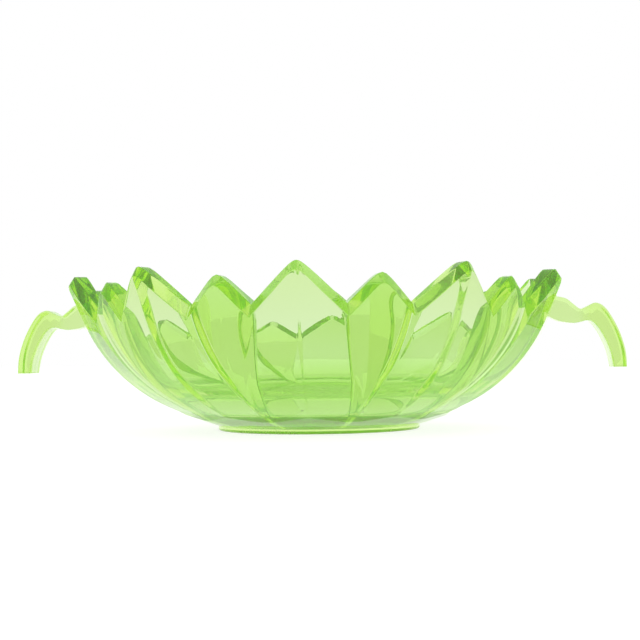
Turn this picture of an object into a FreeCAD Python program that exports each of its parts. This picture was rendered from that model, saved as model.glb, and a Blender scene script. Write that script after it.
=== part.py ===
"""Two-handled uranium glass dish: a lotus-shaped bowl on a low foot, with a curled tab handle on each side.

Millimetres, +Z up. The origin is the centre of the foot's resting face.
A large petal points to -Y, and the handles stand on the small petals at -X and +X.
"""
import FreeCAD
import Part

import math
import os

V = FreeCAD.Vector
UP = V(0, 0, 1)

# Petals: each large one is two flats that meet in a middle ridge, each small one is a single flat.
PETALS = 10                      # large petals, with as many small ones between them
PITCH = 360.0 / PETALS           # degrees from one large petal to the next
VALLEY = 10.5                    # degrees from a large petal's middle to the notch beside it
RIDGE_TURN = 10.0                # degrees that each flat of a large petal turns from its middle

# Outer wall of a large petal's flat: distance from the axis and height, from the rim down.
LARGE_TOP = (99.4, 62.0)
LARGE_BEND = (90.9, 42.6)        # the straight upper wall ends here
LARGE_MID = (78.4, 23.6)         # a point on the curve below it
LARGE_LOW = (54.5, 7.8)          # the curve ends here

# Outer wall of a small petal's flat.
SMALL_TOP = (94.1, 62.0)
SMALL_BEND = (92.9, 54.3)
SMALL_MID = (84.7, 32.0)
SMALL_LOW = (64.0, 12.0)

# Rim: the height of the tips, the slope of the flanks, and the bevel outside them.
LARGE_TIP = 61.5                 # where the flanks would meet if the tip weren't rounded
SMALL_TIP = 58.0
LARGE_FLANK = 0.98               # drop for each millimetre from the petal's middle
SMALL_FLANK = 1.08
TIP_ROUND = 3.0                  # radius of the rounded tips
LARGE_RIDGE = 96.8               # distance of the bevel's upper edge from the axis, at the tip
SMALL_RIDGE = 90.9
LARGE_SWEEP = 1.57               # that edge's run across the petal for each millimetre inwards
SMALL_SWEEP = 2.96
LARGE_FALL = 1.65                # the bevel's drop for each millimetre outwards
SMALL_FALL = 1.70

# Inside: a round basin, with a recess behind each large petal that follows its two flats.
FLOOR_Z = 8.0
FLOOR_R = 34.0
BASIN_MID = (64.0, 21.5)
BASIN_TOP = (78.5, 43.9)
SMALL_IN_TOP = (85.2, 57.0)      # a small petal's inner face passes through here and BASIN_TOP
RECESS_TOP = (89.9, 60.5)
RECESS_BEND = (85.0, 43.9)
RECESS_MID = (76.5, 28.0)
RECESS_LOW = (62.0, 17.0)
RECESS_END = (50.1, FLOOR_Z)
RECESS_SIDES = [(15.3, 66.0), (15.3, 46.0), (17.0, 22.0), (14.6, FLOOR_Z)]   # half width at a height

# Underside and foot.
FOOT_R = 40.0
FOOT_H = 1.8
FOOT_EDGE = 0.5
LENS_SLOPE = 0.36                # rise of the flat under each large petal
CONE_SLOPE = 0.297               # rise of the round underside between those flats

# Handles: side outline, outer edge from the root to the tip, then back along the inner edge.
ARM_W = 10.0                     # width of the arm
CURL_W = 14.0                    # width of the curl
ARM_END = 102.5                  # the arm starts to widen here
CURL_START = 106.5               # and has the curl's width here
HANDLE_END = 124.0               # past the curl
HANDLE_ROOT_IN = 86.0            # the blank starts here, inside the wall, and is trimmed to the wall
ROOT_TOP_Z = 52.5
SHOULDER = (98.0, 50.4)
NOTCH = (103.2, 46.0)
BUMP = (108.6, 48.7)
OUTER_BEND = (116.6, 40.2)
TIP_OUTER = (120.8, 23.4)
TIP_INNER = (115.4, 23.4)
INNER_BEND = (112.4, 35.2)
INNER_TOP = (105.6, 42.0)
UNDER_MID = (101.0, 40.4)
UNDER_OUT = (96.5, 40.6)
ROOT_LOW_Z = 46.0

REACH = 130.0                    # blanks run past the object by this much


def turned(x, y, degrees):
    """A horizontal direction given along (x, y) for a petal at -Y, turned about the axis."""
    a = math.radians(degrees)
    return V(x * math.cos(a) - y * math.sin(a), x * math.sin(a) + y * math.cos(a), 0)


def outwards(azimuth):
    """The horizontal direction at this azimuth, counted from -Y towards +X."""
    return turned(0, -1, azimuth)


def at(azimuth, distance, z):
    """The point at this distance and height in the vertical plane at this azimuth."""
    return outwards(azimuth) * distance + UP * z


def side_face(azimuth, edges):
    """A face in the vertical plane at this azimuth. Edges are lists of 2 points (line) or 3 (arc)."""
    made = []
    for points in edges:
        p = [at(azimuth, d, z) for d, z in points]
        curve = Part.LineSegment(p[0], p[1]) if len(p) == 2 else Part.Arc(p[0], p[1], p[2])
        made.append(curve.toShape())
    return Part.Face(Part.Wire(made))


def across(face, azimuth, width):
    """The face pushed out to this width, half each side of the vertical plane at this azimuth."""
    sideways = outwards(azimuth + 90)
    moved = face.copy()
    moved.translate(sideways * (-width / 2))
    return moved.extrude(sideways * width)


def wall(azimuth, top, bend, mid, low):
    """Everything inside a wall whose flat faces this azimuth: straight, then curved in to the base."""
    slope = (low[1] - mid[1]) / (low[0] - mid[0])
    end = (low[0] - low[1] / slope, 0.0)
    edges = [
        [(0, 0), end],
        [end, low],
        [low, mid, bend],
        [bend, top],
        [top, (0, top[1])],
        [(0, top[1]), (0, 0)],
    ]
    return across(side_face(azimuth, edges), azimuth, 2 * REACH)


def wedge(low, high):
    """The sector between two azimuths, as a tall prism."""
    points = [V(0, 0, 0), outwards(low) * 2 * REACH, outwards(high) * 2 * REACH, V(0, 0, 0)]
    face = Part.Face(Part.makePolygon(points))
    return face.extrude(UP * REACH)


def flanks(azimuth, tip, slope):
    """Everything under a petal's rim: two sloping flanks with a rounded tip, cut along the radius."""
    run = TIP_ROUND * math.sin(math.atan(slope))
    drop = run * slope
    crown = tip - (TIP_ROUND * (math.sqrt(1 + slope * slope) - 1))
    wide = REACH / 4
    outline = [(-wide, tip - slope * wide), (-run, tip - drop), (0, crown), (run, tip - drop),
               (wide, tip - slope * wide)]
    out, side = outwards(azimuth), outwards(azimuth + 90)
    p = [side * y + UP * z for y, z in outline]
    low = [side * wide - UP * wide, side * -wide - UP * wide]
    edges = [
        Part.LineSegment(p[0], p[1]).toShape(),
        Part.Arc(p[1], p[2], p[3]).toShape(),
        Part.LineSegment(p[3], p[4]).toShape(),
        Part.LineSegment(p[4], low[0]).toShape(),
        Part.LineSegment(low[0], low[1]).toShape(),
        Part.LineSegment(low[1], p[0]).toShape(),
    ]
    return Part.Face(Part.Wire(edges)).extrude(out * REACH)


def bevel(azimuth, sign, tip, slope, ridge, sweep, fall):
    """The block that a petal's outer bevel takes away on one side of its middle."""
    out, side = outwards(azimuth), outwards(azimuth + 90) * sign
    corner = out * ridge + UP * tip
    along = side * sweep - out - UP * (sweep * slope)
    down = out - UP * fall
    normal = down.cross(along)
    if normal.dot(out) < 0:
        normal = normal * -1
    normal.normalize()
    block = Part.makeBox(REACH, REACH, REACH / 4, corner, normal)
    middle = block.CenterOfMass - normal * (REACH / 8)
    block.translate(corner - middle)
    return block


def recess():
    """The space behind one flat of the large petal at azimuth 0, above the floor, as wide as its sides let it be."""
    slope = (RECESS_TOP[0] - RECESS_BEND[0]) / (RECESS_TOP[1] - RECESS_BEND[1])
    high = (RECESS_BEND[0] + slope * (REACH / 2 - RECESS_BEND[1]), REACH / 2)
    edges = [
        [(0, FLOOR_Z), RECESS_END],
        [RECESS_END, RECESS_LOW],
        [RECESS_LOW, RECESS_MID, RECESS_BEND],
        [RECESS_BEND, high],
        [high, (0, high[1])],
        [(0, high[1]), (0, FLOOR_Z)],
    ]
    flat = across(side_face(RIDGE_TURN, edges), RIDGE_TURN, 2 * REACH)
    side = outwards(90)
    right = [side * y + UP * z for y, z in RECESS_SIDES]
    left = [side * -y + UP * z for y, z in reversed(RECESS_SIDES)]
    return flat.common(Part.Face(Part.makePolygon(right + left + right[:1])).extrude(outwards(0) * REACH))


def small_face():
    """The space inside the flat inner face of the small petal beside azimuth 0, above the basin."""
    middle = PITCH / 2
    slope = (SMALL_IN_TOP[0] - BASIN_TOP[0]) / (SMALL_IN_TOP[1] - BASIN_TOP[1])
    high = (BASIN_TOP[0] + slope * (REACH / 2 - BASIN_TOP[1]), REACH / 2)
    edges = [
        [(0, BASIN_TOP[1]), BASIN_TOP],
        [BASIN_TOP, high],
        [high, (0, high[1])],
        [(0, high[1]), (0, BASIN_TOP[1])],
    ]
    return across(side_face(middle, edges), middle, 2 * REACH).common(wedge(VALLEY, middle))


def basin():
    """The round inside of the bowl, below the small petals' inner faces."""
    edges = [
        [(0, FLOOR_Z), (FLOOR_R, FLOOR_Z)],
        [(FLOOR_R, FLOOR_Z), BASIN_MID, BASIN_TOP],
        [BASIN_TOP, (0, BASIN_TOP[1])],
        [(0, BASIN_TOP[1]), (0, FLOOR_Z)],
    ]
    return side_face(0, edges).revolve(V(0, 0, 0), UP, 360)


def underside():
    """The space under the bowl, below its round underside."""
    high = FOOT_H + CONE_SLOPE * (REACH - FOOT_R)
    edges = [
        [(0, -1), (REACH, -1)],
        [(REACH, -1), (REACH, high)],
        [(REACH, high), (FOOT_R, FOOT_H)],
        [(FOOT_R, FOOT_H), (0, FOOT_H)],
        [(0, FOOT_H), (0, -1)],
    ]
    return side_face(0, edges).revolve(V(0, 0, 0), UP, 360)


def lens(azimuth):
    """The space below the flat under a large petal."""
    high = FOOT_H + LENS_SLOPE * (REACH - FOOT_R)
    edges = [
        [(FOOT_R, -1), (REACH, -1)],
        [(REACH, -1), (REACH, high)],
        [(REACH, high), (FOOT_R, FOOT_H)],
        [(FOOT_R, FOOT_H), (FOOT_R, -1)],
    ]
    return across(side_face(azimuth, edges), azimuth, 2 * REACH)


def half_sector():
    """The bowl from the middle of a large petal to the middle of the small one beside it."""
    middle = PITCH / 2
    large_wall = wall(RIDGE_TURN, LARGE_TOP, LARGE_BEND, LARGE_MID, LARGE_LOW)
    small_wall = wall(middle, SMALL_TOP, SMALL_BEND, SMALL_MID, SMALL_LOW)
    large = large_wall.common(wedge(0, VALLEY)).common(flanks(0, LARGE_TIP, LARGE_FLANK))
    large = large.cut(bevel(0, 1, LARGE_TIP, LARGE_FLANK, LARGE_RIDGE, LARGE_SWEEP, LARGE_FALL))
    small = large_wall.common(small_wall).common(wedge(VALLEY, middle))
    small = small.common(flanks(middle, SMALL_TIP, SMALL_FLANK))
    small = small.cut(bevel(middle, -1, SMALL_TIP, SMALL_FLANK, SMALL_RIDGE, SMALL_SWEEP, SMALL_FALL))
    small = small.cut(small_face())
    both = large.fuse(small)
    return both.cut(basin()).cut(recess()).cut(lens(0)).cut(underside())


def bowl():
    """The whole bowl: one half sector, mirrored, then repeated round the axis."""
    half = half_sector()
    other = half.mirror(V(0, 0, 0), V(1, 0, 0))
    sector = half.fuse(other)
    copies = []
    for i in range(PETALS):
        copy = sector.copy()
        copy.rotate(V(0, 0, 0), UP, i * PITCH)
        copies.append(copy)
    return copies[0].multiFuse(copies[1:]).removeSplitter()


def foot():
    """The ground, flat foot: a low disc with a softened edge where it meets the table."""
    disc = Part.makeCylinder(FOOT_R, FOOT_H)
    resting = [e for e in disc.Edges if abs(e.BoundBox.ZMax) < 1e-6 and e.Closed]
    return disc.makeChamfer(FOOT_EDGE, resting)


def handle(azimuth, body):
    """A curled tab: an arm from the wall, a thumb notch, and a curl that ends above the table."""
    edges = [
        [(HANDLE_ROOT_IN, ROOT_TOP_Z), SHOULDER],
        [SHOULDER, NOTCH],
        [NOTCH, BUMP, OUTER_BEND],
        [OUTER_BEND, TIP_OUTER],
        [TIP_OUTER, TIP_INNER],
        [TIP_INNER, INNER_BEND, INNER_TOP],
        [INNER_TOP, UNDER_MID],
        [UNDER_MID, UNDER_OUT],
        [UNDER_OUT, (HANDLE_ROOT_IN, ROOT_LOW_Z)],
        [(HANDLE_ROOT_IN, ROOT_LOW_Z), (HANDLE_ROOT_IN, ROOT_TOP_Z)],
    ]
    blank = across(side_face(azimuth, edges), azimuth, CURL_W)
    out, side = outwards(azimuth), outwards(azimuth + 90)
    plan = [(HANDLE_ROOT_IN, ARM_W), (ARM_END, ARM_W), (CURL_START, CURL_W), (HANDLE_END, CURL_W)]
    left = [out * d + side * (w / 2) for d, w in plan]
    right = [out * d - side * (w / 2) for d, w in reversed(plan)]
    outline = Part.Face(Part.makePolygon(left + right + left[:1])).extrude(UP * REACH)
    rest = blank.common(outline).cut(body)
    return max(rest.Solids, key=lambda s: s.Volume)


def main():
    os.makedirs("parts", exist_ok=True)
    body = bowl()
    nodes = {
        "bowl": body,
        "foot": foot(),
        "handle_right": handle(90, body),
        "handle_left": handle(-90, body),
    }
    for name, shape in nodes.items():
        box = shape.BoundBox
        size = [round(side, 2) for side in (box.XLength, box.YLength, box.ZLength)]
        print(name, "valid", shape.isValid(), "solids", len(shape.Solids), "size", size,
              "cm3", round(shape.Volume / 1000, 1), "z", round(box.ZMin, 2), round(box.ZMax, 2))
        shape.exportStep(f"parts/{name}.step")


main()
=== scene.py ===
"""Looks of a two-handled uranium glass dish: a lotus-shaped bowl on a low foot, with two curled tabs.

Shapes are worked out in millimetres, and become metres when a mesh is made. +Z is up.
Azimuths are counted from -Y towards +X. A large petal stands at azimuth 0.
"""
import math

import bpy
import numpy as np
from mathutils import Matrix, Vector


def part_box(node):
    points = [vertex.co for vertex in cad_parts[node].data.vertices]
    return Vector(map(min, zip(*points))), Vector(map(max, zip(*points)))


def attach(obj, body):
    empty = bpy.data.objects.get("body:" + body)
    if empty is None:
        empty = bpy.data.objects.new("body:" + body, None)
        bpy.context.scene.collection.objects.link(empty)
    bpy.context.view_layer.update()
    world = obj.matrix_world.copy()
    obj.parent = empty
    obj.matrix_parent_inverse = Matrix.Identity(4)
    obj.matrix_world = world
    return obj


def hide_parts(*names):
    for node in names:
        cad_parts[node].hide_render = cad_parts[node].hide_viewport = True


MM = 0.001
BOUNCES = 48                     # light inside the thick rim is turned back many times before it gets out
HALVINGS = 45                    # steps of the halving that finds where two surfaces meet

# Petals.
PETALS = 10                      # large petals, with as many small ones between them
HALF = math.pi / PETALS          # azimuth of the small petal beside the first large one
VALLEY = math.radians(10.58)     # azimuth of the notch between them at the rim
TURN = math.radians(10.0)        # each flat of a large petal is turned this much from its middle

# Distance of each flat from the axis, and height, from the rim down: a line to the bend, then an arc.
LARGE_WALL = [(99.4, 62.0), (90.9, 42.6), (78.4, 23.6), (54.5, 7.8)]
SMALL_WALL = [(94.1, 62.0), (92.9, 54.3), (84.7, 32.0), (64.0, 12.0)]
RECESS = [(89.9, 60.5), (85.0, 43.9), (76.5, 28.0), (62.0, 17.0)]
BASIN = [(78.5, 43.9), (64.0, 21.5), (34.0, 8.0)]
BASIN_HELD = 52.0                # the basin's arc goes straight up above this height
BASIN_LEAN = 0.42                # how much more a small petal's inner face leans out than the basin
BASIN_SOFT = 6.0                 # rounding of the bend between them
BASIN_FLAT = 13.0                # that face is quite flat this far above the bend
RECESS_SIDES = [(14.6, 8.0), (17.0, 22.0), (15.3, 46.0)]   # half width of a recess at a height
RECESS_SOFT = 0.3                # rounding where a recess meets the basin
FLOOR_Z = 8.0
RIDGE_SOFT = 0.10                # rounding of the ridge down the middle of a large petal
CREASE_SOFT = 0.04               # rounding of the crease between two petals

# Rim of each kind of petal: tip height, flank slope, tip rounding, then the bevel's upper edge at the
# tip, that edge's sweep and the bevel's fall.
RIDGE_ROUND = 2.0                # rounding of that edge at the petal's middle
LARGE_RIM = dict(middle=0.0, tip=62.26, slope=0.98, soft=2.0, ridge=95.9, sweep=1.57, fall=1.65)
SMALL_RIM = dict(middle=HALF, tip=58.75, slope=1.08, soft=2.0, ridge=90.4, sweep=2.96, fall=1.70)

# Underside.
LENS_SLOPE = 0.36                # rise of the flat under each large petal
CONE_SLOPE = 0.297               # rise of the round cone between those flats
UNDER_SOFT = 0.10                # rounding where they meet

# The grid's columns, as shares of the way from a ridge to a crease, and on to the small petal's middle.
LARGE_SHARES = np.array([0, .013, .032, .06, .1, .16, .25, .36, .48, .6, .72, .83, .91, .955, .982, 1])
SMALL_SHARES = np.array([.03, .08, .16, .28, .42, .57, .72, .87, 1])
LAST_CREASE = math.radians(17.5)  # the crease column never comes nearer to the small petal's middle
JOINING = 0.1                    # share of a wall over which the crease column runs to or from the valley
CREASE_STEPS = 30                # steps that settle the height of each row on the crease

# Heights between which the ends of the walls are looked for, and distances for the bevel's upper edge.
LOW_ENDS = (2, 30)
WALL_TOPS = (25, 66)
INNER_TOPS = (30, 70)
RIDGES = (70, 110)


def circle(p, q, s):
    """Centre and radius of the circle through three points, from the two equations of equal distance."""
    rows = 2 * np.array([[q[0] - p[0], q[1] - p[1]], [s[0] - p[0], s[1] - p[1]]])
    sides = np.array([q[0] ** 2 + q[1] ** 2, s[0] ** 2 + s[1] ** 2]) - (p[0] ** 2 + p[1] ** 2)
    centre = np.linalg.solve(rows, sides)
    return centre[0], centre[1], math.hypot(p[0] - centre[0], p[1] - centre[1])


def least(a, b, soft):
    """The smaller of two values, with the change from one to the other rounded."""
    return 0.5 * (a + b - np.sqrt((a - b) ** 2 + soft ** 2))


def most(a, b, soft):
    """The larger of two values, with the change from one to the other rounded."""
    return -least(-a, -b, soft)


def root(f, low, high, shape):
    """Where a falling function is zero, by halving the interval for the whole array at once."""
    low = np.full(shape, float(low))
    high = np.full(shape, float(high))
    for _ in range(HALVINGS):
        middle = 0.5 * (low + high)
        above = f(middle) > 0
        low = np.where(above, middle, low)
        high = np.where(above, high, middle)
    return 0.5 * (low + high)


def flat_distance(z, points):
    """Distance of a flat of the outer wall: a line above the bend, an arc below it, a line to the base."""
    top, bend, mid, low = points
    across, up, radius = circle(bend, mid, low)
    straight = bend[0] + (z - bend[1]) * (top[0] - bend[0]) / (top[1] - bend[1])
    curved = across + np.sqrt(np.maximum(radius ** 2 - (z - up) ** 2, 1.0))
    base = low[0] + (z - low[1]) * (mid[0] - low[0]) / (mid[1] - low[1])
    return np.where(z > bend[1], straight, np.where(z > low[1], curved, base))


def wall_radius(phi, z):
    """Radius of the outer wall: the nearest of the flats that face azimuths near this one."""
    large = flat_distance(z, LARGE_WALL)
    small = flat_distance(z, SMALL_WALL)
    ridge = least(large / np.cos(phi - TURN), large / np.cos(phi + TURN), RIDGE_SOFT)
    sides = least(ridge, large / np.cos(2 * HALF - TURN - phi), RIDGE_SOFT)
    return least(sides, small / np.cos(HALF - phi), CREASE_SOFT)


def crease_azimuth(z):
    """Azimuth at which a large petal's flat and a small petal's flat are equally far out at this height,
    worked out by halving, and kept off the small petal's middle."""
    large = flat_distance(z, LARGE_WALL)
    small = flat_distance(z, SMALL_WALL)
    crease = root(lambda a: small / np.cos(HALF - a) - large / np.cos(a - TURN), 0.0, HALF, np.shape(z))
    return np.minimum(crease, LAST_CREASE)


def under_height(phi, r, foot_r, foot_z):
    """Height of the underside: the higher of the round cone and the flat under the large petal."""
    cone = foot_z + CONE_SLOPE * (r - foot_r)
    lens = foot_z + LENS_SLOPE * (r * np.cos(phi) - foot_r)
    return most(cone, lens, UNDER_SOFT)


def flank_height(phi, r, rim):
    """Height of a petal's rim: two slopes down from its middle, as a hyperbola with a rounded tip."""
    side = r * np.sin(phi - rim["middle"])
    return rim["tip"] - rim["slope"] * np.sqrt(side ** 2 + rim["soft"] ** 2)


def past_ridge(phi, r, rim):
    """How far outside the bevel's upper edge a point of the rim is."""
    side = r * np.sin(phi - rim["middle"])
    rounded = np.sqrt(side ** 2 + RIDGE_ROUND ** 2) - RIDGE_ROUND
    return r * np.cos(phi - rim["middle"]) - rim["ridge"] + rounded / rim["sweep"]


def basin_radius(z):
    """Radius of the round basin: an arc, held back above the rim."""
    across, up, radius = circle(*BASIN)
    return across + np.sqrt(radius ** 2 - (np.minimum(z, BASIN_HELD) - up) ** 2)


def inner_radius(phi, z, rim):
    """Radius of the inside. Behind a small petal it's the basin, which leans out more above its bend by a
    softened step in slope, and turns flat there. Behind a large one it's the basin or the two flats of the
    recess, whichever is further out."""
    basin = basin_radius(z)
    if rim["middle"]:
        above = z - BASIN[0][1]
        leaning = basin + BASIN_LEAN * 0.5 * (above + np.sqrt(above ** 2 + BASIN_SOFT ** 2))
        share = np.clip(above / BASIN_FLAT, 0, 1)
        flatness = share * share * (3 - 2 * share)
        return leaning * (1 + flatness * (1 / np.cos(HALF - phi) - 1))
    large = flat_distance(z, RECESS)
    flats = least(large / np.cos(phi - TURN), large / np.cos(phi + TURN), RIDGE_SOFT)
    return most(flats, basin, RECESS_SOFT)


def recess_azimuth(z):
    """Azimuth of a recess's side: where its flat is half the recess's width off the middle."""
    half_width = np.interp(z, [p[1] for p in RECESS_SIDES], [p[0] for p in RECESS_SIDES])
    flat = flat_distance(z, RECESS)
    return root(lambda a: half_width - flat / np.cos(a - TURN) * np.sin(a), 0.0, HALF, np.shape(z))


def wall_start(phi, foot_r, foot_z):
    """Height at which the outer wall leaves the underside."""
    return root(lambda z: under_height(phi, wall_radius(phi, z), foot_r, foot_z) - z, *LOW_ENDS, phi.shape)


def wall_end(phi, rim):
    """Height at which the outer wall meets the bevel, or the rim where there is none."""
    def above(z):
        r = wall_radius(phi, z)
        return flank_height(phi, r, rim) - rim["fall"] * np.maximum(past_ridge(phi, r, rim), 0) - z
    return root(above, *WALL_TOPS, phi.shape)


def inner_start(phi, rim):
    """Height at which the inside meets the rim."""
    return root(lambda z: flank_height(phi, inner_radius(phi, z, rim), rim) - z, *INNER_TOPS, phi.shape)


def columns(crease):
    """Azimuths of the grid's columns for one crease azimuth, or for a column of them."""
    crease = np.asarray(crease, float)
    first = crease * LARGE_SHARES
    second = crease + (HALF - crease) * SMALL_SHARES
    return np.concatenate([first, second], axis=-1)


def by_petal(f):
    """A value for each column: the large petal's before the valley, the small one's after it, and on it
    their mean."""
    large = f(LARGE_RIM)
    small = f(SMALL_RIM)
    valley = len(LARGE_SHARES) - 1
    index = np.arange(large.shape[-1])
    return np.where(index < valley, large, np.where(index > valley, small, 0.5 * (large + small)))


def lined(start, end):
    """A run between two rings: straight in azimuth, radius and height."""
    return lambda t: start[:, None, :] + (end - start)[:, None, :] * t


def bowl_runs(foot_r, foot_z):
    """The runs of the bowl's profile from the middle of its underside to the middle of its floor. Each is
    a function of the share of the way along it, and gives azimuth, radius and height by row and column."""
    top = columns(VALLEY)
    shape = top.shape
    low = columns(LAST_CREASE)
    zero = np.zeros(shape)

    wall_low = wall_start(low, foot_r, foot_z)
    wall_top = by_petal(lambda rim: wall_end(top, rim))
    ridge_r = by_petal(lambda rim: root(lambda r: -past_ridge(top, r, rim), *RIDGES, shape))
    ridge_z = by_petal(lambda rim: flank_height(top, ridge_r, rim))
    inner_z = by_petal(lambda rim: inner_start(top, rim))
    inner_r = by_petal(lambda rim: inner_radius(top, inner_z, rim))
    centre_low = np.array([low, zero, zero + foot_z])
    foot_edge = np.array([low, zero + foot_r, zero + foot_z])
    bevel_low = np.array([top, wall_radius(top, wall_top), wall_top])
    bevel_top = np.array([top, ridge_r, ridge_z])
    land_in = np.array([top, inner_r, inner_z])
    floor = columns(recess_azimuth(np.array(FLOOR_Z)))
    floor_r = by_petal(lambda rim: inner_radius(floor, zero + FLOOR_Z, rim))
    inner_low = np.array([floor, floor_r, zero + FLOOR_Z])
    floor_middle = np.array([floor, zero, zero + FLOOR_Z])

    def under(t):
        """From the foot's edge out to the wall, at the underside's height."""
        r = foot_r + (wall_radius(low, wall_low) - foot_r) * t
        return np.array([low + 0 * r, r, under_height(low, r, foot_r, foot_z)])

    def wall(t):
        """Up the outer wall, with the crease column kept on the crease."""
        share = t[:, :1]
        height = share * 30 + 10
        crease_top = wall_top[len(LARGE_SHARES) - 1]
        for _ in range(CREASE_STEPS):
            crease = crease_azimuth(height)
            crease_low = wall_start(crease, foot_r, foot_z)
            height = 0.5 * height + 0.5 * (crease_low + (crease_top - crease_low) * share)
        blend = np.clip((share - (1 - JOINING)) / JOINING, 0, 1)
        crease = crease + (VALLEY - crease) * blend * blend * (3 - 2 * blend)
        phi = columns(crease)
        start = wall_start(phi, foot_r, foot_z)
        end = by_petal(lambda rim: wall_end(phi, rim))
        z = start + (end - start) * t
        return np.array([phi, wall_radius(phi, z), z])

    def inside(t):
        """Down the inner wall to the floor, with the crease column kept on the crease below the valley."""
        share = t[:, :1]
        valley_z = inner_z[len(LARGE_SHARES) - 1]
        side = recess_azimuth(valley_z + (FLOOR_Z - valley_z) * share)
        blend = np.clip(share / JOINING, 0, 1)
        phi = columns(VALLEY + (side - VALLEY) * blend)
        start = by_petal(lambda rim: inner_start(phi, rim))
        z = start + (FLOOR_Z - start) * t
        return np.array([phi, by_petal(lambda rim: inner_radius(phi, z, rim)), z])

    return [
        (lined(centre_low, foot_edge), 5), (under, 9), (wall, 38), (lined(bevel_low, bevel_top), 4),
        (lined(bevel_top, land_in), 5), (inside, 44), (lined(inner_low, floor_middle), 8),
    ]


SETBACKS = [0.3, 0.5, 0.35, 0.35, 0.45, 3.0]   # rounding at each corner of the profile


def rounded_profile(runs, setbacks):
    """Rows of the whole profile. Each corner is cut back and bridged by a parabola that leaves both runs
    in their own direction."""
    both_ends = np.array([[0.0], [1.0]]) + np.zeros((2, len(LARGE_SHARES) + len(SMALL_SHARES)))
    ends = [f(both_ends) for f, _ in runs]
    lengths = [np.hypot(e[1, 1] - e[1, 0], e[2, 1] - e[2, 0]) for e in ends]
    rows = []
    for i, (f, count) in enumerate(runs):
        before = 0 * lengths[i] if i == 0 else np.minimum(setbacks[i - 1] / lengths[i], 0.45)
        after = 0 * lengths[i] if i == len(runs) - 1 else np.minimum(setbacks[i] / lengths[i], 0.45)
        share = np.linspace(0, 1, count)[:, None]
        rows.append(f(before + (1 - after - before) * share))
        if i < len(runs) - 1:
            following = np.minimum(setbacks[i] / lengths[i + 1], 0.45)
            start = f((1 - after) * np.ones((1, 1)))
            corner = f(np.ones((1, 1)) + 0 * after)
            end = runs[i + 1][0](following * np.ones((1, 1)))
            q = np.array([0.2, 0.4, 0.6, 0.8])[:, None]
            rows.append((1 - q) ** 2 * start + 2 * q * (1 - q) * corner + q ** 2 * end)
    return np.concatenate(rows, axis=1)


def all_round(half):
    """The rows carried round the whole bowl: mirrored about the ridge, then repeated at each petal."""
    phi, r, z = half
    sector = np.concatenate([-phi[:, :0:-1], phi[:, :-1]], axis=1)
    radius = np.concatenate([r[:, :0:-1], r[:, :-1]], axis=1)
    height = np.concatenate([z[:, :0:-1], z[:, :-1]], axis=1)
    turned = np.concatenate([sector + 2 * HALF * k for k in range(PETALS)], axis=1)
    radius = np.tile(radius, (1, PETALS))
    height = np.tile(height, (1, PETALS))
    return np.stack([radius * np.sin(turned), -radius * np.cos(turned), height], axis=-1)


def skin(name, rings):
    """A closed mesh from rings of points, first to last. The first and last ring are single points.
    Each pair of neighbouring rings is joined by quads, and each end is closed by a fan of triangles."""
    count = rings.shape[1]
    inner = rings[1:-1].reshape(-1, 3)
    points = np.concatenate([inner, rings[:1, 0], rings[-1:, 0]]) * MM
    a = np.arange(count)
    b = (a + 1) % count
    starts = (np.arange(rings.shape[0] - 3) * count)[:, None]
    quads = np.stack([starts + a, starts + b, starts + count + b, starts + count + a], axis=-1)
    last = (rings.shape[0] - 3) * count
    first_pole = np.full(count, len(inner))
    fans = np.concatenate([np.stack([b, a, first_pole], axis=-1),
                           np.stack([last + a, last + b, first_pole + 1], axis=-1)])
    mesh = bpy.data.meshes.new(name)
    mesh.from_pydata(points.tolist(), [], quads.reshape(-1, 4).tolist() + fans.tolist())
    mesh.polygons.foreach_set("use_smooth", np.ones(len(mesh.polygons), bool))
    mesh.update()
    piece = bpy.data.objects.new(name, mesh)
    bpy.context.scene.collection.objects.link(piece)
    return piece


def even_shading(piece):
    """Normals that follow the large faces, so that the flats stay flat beside their rounded edges."""
    weighted = piece.modifiers.new("even_shading", "WEIGHTED_NORMAL")
    weighted.keep_sharp = False
    weighted.weight = 60


# Handles: outer and inner edge of the side outline, from the root to the tip, as distance and height.
HANDLE_OUTER = [(91.8, 51.6), (94.5, 51.3), (98.0, 50.4), (101.0, 48.0), (103.4, 46.3), (106.2, 47.4),
                (109.2, 48.6), (112.6, 46.8), (116.0, 41.7), (118.6, 35.9), (120.3, 29.6), (120.8, 23.4)]
HANDLE_INNER = [(89.5, 44.2), (94.0, 41.9), (97.5, 41.0), (101.0, 40.7), (103.6, 41.1), (105.6, 41.6),
                (107.6, 41.2), (109.6, 39.2), (111.6, 35.9), (113.4, 32.0), (114.7, 27.8), (115.4, 23.4)]
HANDLE_HALF = [5.0, 5.0, 5.0, 5.0, 5.2, 5.9, 6.7, 7.0, 7.0, 7.0, 7.0, 7.0]   # half width at each
HANDLE_RINGS = 90
HANDLE_AROUND = 72
HANDLE_CORNER = 2 / 9            # power of the rounded rectangle: the smaller, the sharper its corners
FOOT_AROUND = 240


def smooth_path(points, count):
    """A curve through the points, worked out by cubic Hermite pieces whose slopes join the neighbours."""
    p = np.asarray(points, float)
    padded = np.concatenate([2 * p[:1] - p[1:2], p, 2 * p[-1:] - p[-2:-1]])
    slopes = 0.5 * (padded[2:] - padded[:-2])
    place = np.linspace(0, len(p) - 1, count)
    i = np.minimum(place.astype(int), len(p) - 2)
    s = (place - i)[:, None]
    return ((2 * s ** 3 - 3 * s ** 2 + 1) * p[i] + (s ** 3 - 2 * s ** 2 + s) * slopes[i]
            + (3 * s ** 2 - 2 * s ** 3) * p[i + 1] + (s ** 3 - s ** 2) * slopes[i + 1])


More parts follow.
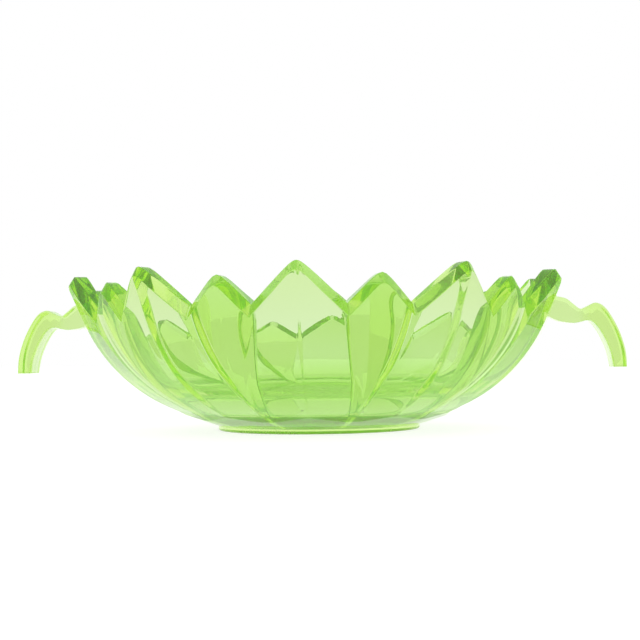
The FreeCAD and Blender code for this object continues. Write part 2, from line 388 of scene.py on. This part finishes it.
def handle(name, sign):
    """A tab: a rounded rectangle between the edges of the side outline, carried from root to tip."""
    outer = smooth_path(HANDLE_OUTER, HANDLE_RINGS)
    inner = smooth_path(HANDLE_INNER, HANDLE_RINGS)
    half = smooth_path(np.array(HANDLE_HALF)[:, None], HANDLE_RINGS)
    middle = 0.5 * (outer + inner)
    reach = 0.5 * (outer - inner)
    turn = np.linspace(0, 2 * np.pi, HANDLE_AROUND, endpoint=False)
    a = np.sign(np.cos(turn)) * np.abs(np.cos(turn)) ** HANDLE_CORNER
    b = np.sign(np.sin(turn)) * np.abs(np.sin(turn)) ** HANDLE_CORNER
    side = middle[:, None, :] + reach[:, None, :] * a[None, :, None]
    wide = half * b[None, :]
    rings = np.stack([sign * side[..., 0], -sign * wide, side[..., 1]], axis=-1)
    ends = [np.broadcast_to(rings[k].mean(axis=0), rings[k].shape) for k in (0, -1)]
    return skin(name, np.concatenate([ends[0][None], rings, ends[1][None]]))


def foot(name, radius, height):
    """A low disc turned from a profile whose resting edge and inner middle are slightly relieved."""
    profile = np.array([(0, 0.25), (radius * 0.55, 0.22), (radius * 0.62, 0.0), (radius - 0.9, 0.0),
                        (radius - 0.45, 0.1), (radius - 0.12, 0.35), (radius, 0.8),
                        (radius, height + 0.25), (radius * 0.6, height + 0.3), (0, height + 0.3)])
    turn = np.linspace(0, 2 * np.pi, FOOT_AROUND, endpoint=False)
    rings = np.stack([profile[:, :1] * np.sin(turn), -profile[:, :1] * np.cos(turn),
                      profile[:, 1:] + 0 * turn], axis=-1)
    return skin(name, rings)


def noise(nodes, links, name, scale, detail, distortion, stretch):
    """A noise in the piece's own coordinates, drawn out by the stretch, and what carries its value."""
    coords = nodes.new("ShaderNodeTexCoord")
    mapping = nodes.new("ShaderNodeMapping")
    mapping.inputs["Scale"].default_value = stretch
    texture = nodes.new("ShaderNodeTexNoise")
    texture.name = name
    texture.inputs["Scale"].default_value = scale
    texture.inputs["Detail"].default_value = detail
    texture.inputs["Distortion"].default_value = distortion
    links.new(coords.outputs["Object"], mapping.inputs["Vector"])
    links.new(mapping.outputs["Vector"], texture.inputs["Vector"])
    return texture.outputs["Fac"]


def glass(name, tint, paler, painted_base_shade, smooth, worn, ripple):
    """Yellow-green glass. The surface passes light through a faint tint that drifts to a paler one, and to
    a deeper, more saturated green down at the base, which is painted shade. Its roughness wanders between
    two values, and a slow ripple with fine grain in it bends the light a little. The volume takes out blue
    and some red, and the surface gives off a faint glow."""
    material = bpy.data.materials.new(name)
    material.use_nodes = True
    nodes = material.node_tree.nodes
    links = material.node_tree.links
    shader = nodes["Principled BSDF"]
    shader.inputs["Transmission Weight"].default_value = 1.0
    shader.inputs["IOR"].default_value = 1.51
    shader.inputs["Emission Color"].default_value = (0.75, 1.0, 0.1, 1)
    shader.inputs["Emission Strength"].default_value = 0.045

    flow = noise(nodes, links, "flow", 30.0, 2.0, 0.8, (1.0, 1.0, 0.45))
    grain = noise(nodes, links, "grain", 420.0, 4.0, 0.2, (1.0, 1.0, 1.0))

    drift = nodes.new("ShaderNodeMix")
    drift.data_type = "RGBA"
    drift.inputs["A"].default_value = (*tint, 1)
    drift.inputs["B"].default_value = (*paler, 1)
    links.new(flow, drift.inputs["Factor"])

    coords = nodes.new("ShaderNodeTexCoord")
    parts = nodes.new("ShaderNodeSeparateXYZ")
    links.new(coords.outputs["Object"], parts.inputs["Vector"])
    # Painted shade: below about 34 mm the tint turns to a deeper, more saturated green, strongest at the
    # bottom.
    depth = nodes.new("ShaderNodeMapRange")
    depth.interpolation_type = "SMOOTHSTEP"
    depth.inputs["From Min"].default_value = 0.003
    depth.inputs["From Max"].default_value = 0.034
    depth.inputs["To Min"].default_value = 1.0
    depth.inputs["To Max"].default_value = 0.0
    links.new(parts.outputs["Z"], depth.inputs["Value"])
    base_shade_mix = nodes.new("ShaderNodeMix")
    base_shade_mix.data_type = "RGBA"
    base_shade_mix.inputs["B"].default_value = (*painted_base_shade, 1)
    links.new(depth.outputs["Result"], base_shade_mix.inputs["Factor"])
    links.new(drift.outputs["Result"], base_shade_mix.inputs["A"])
    links.new(base_shade_mix.outputs["Result"], shader.inputs["Base Color"])

    wear = nodes.new("ShaderNodeMapRange")
    wear.inputs["From Min"].default_value = 0.35
    wear.inputs["From Max"].default_value = 0.75
    wear.inputs["To Min"].default_value = smooth
    wear.inputs["To Max"].default_value = worn
    links.new(grain, wear.inputs["Value"])
    links.new(wear.outputs["Result"], shader.inputs["Roughness"])

    fine = nodes.new("ShaderNodeMath")
    fine.operation = "MULTIPLY_ADD"
    fine.inputs[1].default_value = 0.02
    links.new(grain, fine.inputs[0])
    links.new(flow, fine.inputs[2])
    bump = nodes.new("ShaderNodeBump")
    bump.inputs["Strength"].default_value = 1.0
    bump.inputs["Distance"].default_value = ripple * MM
    links.new(fine.outputs["Value"], bump.inputs["Height"])
    links.new(bump.outputs["Normal"], shader.inputs["Normal"])

    volume = nodes.new("ShaderNodeVolumeAbsorption")
    volume.inputs["Color"].default_value = (0.73, 0.88, 0.0, 1)
    volume.inputs["Density"].default_value = 78.0
    links.new(volume.outputs["Volume"], nodes["Material Output"].inputs["Volume"])
    return material


def dress(piece, material, slot, *nodes):
    """Puts the finish on a piece, hangs it under the root body, and hides the CAD parts it replaces."""
    piece.data.materials.append(material)
    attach(piece, "root")
    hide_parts(*nodes)


def camera():
    """A long lens at table height, a little to the right of the front petal's middle."""
    azimuth = math.radians(4.13)
    distance = 0.515
    height = 0.0278
    lens = 72.4
    raised = math.radians(1.735)
    aside = math.radians(0.09)
    roll = math.radians(0.69)
    data = bpy.data.cameras.new("camera")
    data.lens = lens
    data.sensor_width = 36.0
    data.clip_start = 0.01
    eye = Vector((distance * math.sin(azimuth), -distance * math.cos(azimuth), height))
    heading = azimuth - aside
    level = Vector((-math.sin(heading), math.cos(heading), 0))
    forward = level * math.cos(raised) + Vector((0, 0, 1)) * math.sin(raised)
    right = forward.cross(Vector((0, 0, 1))).normalized()
    up = right.cross(forward)
    tilted_up = up * math.cos(roll) + right * math.sin(roll)
    tilted_right = right * math.cos(roll) - up * math.sin(roll)
    turn = Matrix((tilted_right, tilted_up, -forward)).transposed().to_4x4()
    made = bpy.data.objects.new("camera", data)
    made.matrix_world = Matrix.Translation(eye) @ turn
    bpy.context.scene.collection.objects.link(made)
    bpy.context.scene.camera = made


def studio():
    """A plain white floor under an even white sky."""
    mesh = bpy.data.meshes.new("floor")
    far = 6.0
    mesh.from_pydata([(-far, -far, 0), (far, -far, 0), (far, far, 0), (-far, far, 0)], [], [(0, 1, 2, 3)])
    floor = bpy.data.objects.new("floor", mesh)
    bpy.context.scene.collection.objects.link(floor)
    paper = bpy.data.materials.new("white_paper")
    paper.use_nodes = True
    shader = paper.node_tree.nodes["Principled BSDF"]
    shader.inputs["Base Color"].default_value = (0.3, 0.3, 0.3, 1)
    shader.inputs["Roughness"].default_value = 0.9
    shader.inputs["Emission Color"].default_value = (1, 1, 1, 1)
    shader.inputs["Emission Strength"].default_value = 0.8
    mesh.materials.append(paper)
    world = bpy.data.worlds.new("sky")
    world.use_nodes = True
    background = world.node_tree.nodes["Background"]
    background.inputs["Color"].default_value = (1, 1, 1, 1)
    background.inputs["Strength"].default_value = 1.0
    bpy.context.scene.world = world
    bpy.context.scene.view_settings.view_transform = "Standard"


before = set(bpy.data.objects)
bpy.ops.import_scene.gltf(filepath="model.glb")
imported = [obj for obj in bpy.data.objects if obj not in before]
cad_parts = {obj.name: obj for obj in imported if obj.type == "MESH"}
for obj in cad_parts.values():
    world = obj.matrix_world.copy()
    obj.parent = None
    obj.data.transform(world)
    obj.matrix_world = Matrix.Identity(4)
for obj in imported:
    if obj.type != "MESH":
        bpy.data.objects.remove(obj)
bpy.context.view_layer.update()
foot_low, foot_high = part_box("foot")
foot_radius = foot_high.x / MM
foot_height = foot_high.z / MM

# The deeper green given for the bottom of each material is painted shade for the base.
clear_glass = glass("uranium_glass", tint=(0.665, 0.805, 0.67), paler=(0.705, 0.835, 0.72),
                    painted_base_shade=(0.55, 0.79, 0.36), smooth=0.0, worn=0.012, ripple=0.10)
# The foot's tints, deeper and more saturated than the bowl's, are painted shade for the thick base seen
# against the shadowed floor.
ground_glass = glass("ground_glass", tint=(0.56, 0.78, 0.42), paler=(0.62, 0.82, 0.50),
                     painted_base_shade=(0.55, 0.79, 0.38), smooth=0.12, worn=0.35, ripple=0.05)

half = rounded_profile(bowl_runs(foot_radius, foot_height), SETBACKS)
bowl = skin("bowl_glass", all_round(half))
even_shading(bowl)
dress(bowl, clear_glass, "uranium_glass", "bowl")

base = foot("foot_glass", foot_radius, foot_height)
dress(base, ground_glass, "ground_glass", "foot")

for name, sign in (("handle_right", 1), ("handle_left", -1)):
    tab = handle(name + "_glass", sign)
    dress(tab, clear_glass, "uranium_glass", name)

camera()
studio()

cycles = bpy.context.scene.cycles
cycles.max_bounces = BOUNCES
cycles.transmission_bounces = BOUNCES
cycles.glossy_bounces = BOUNCES
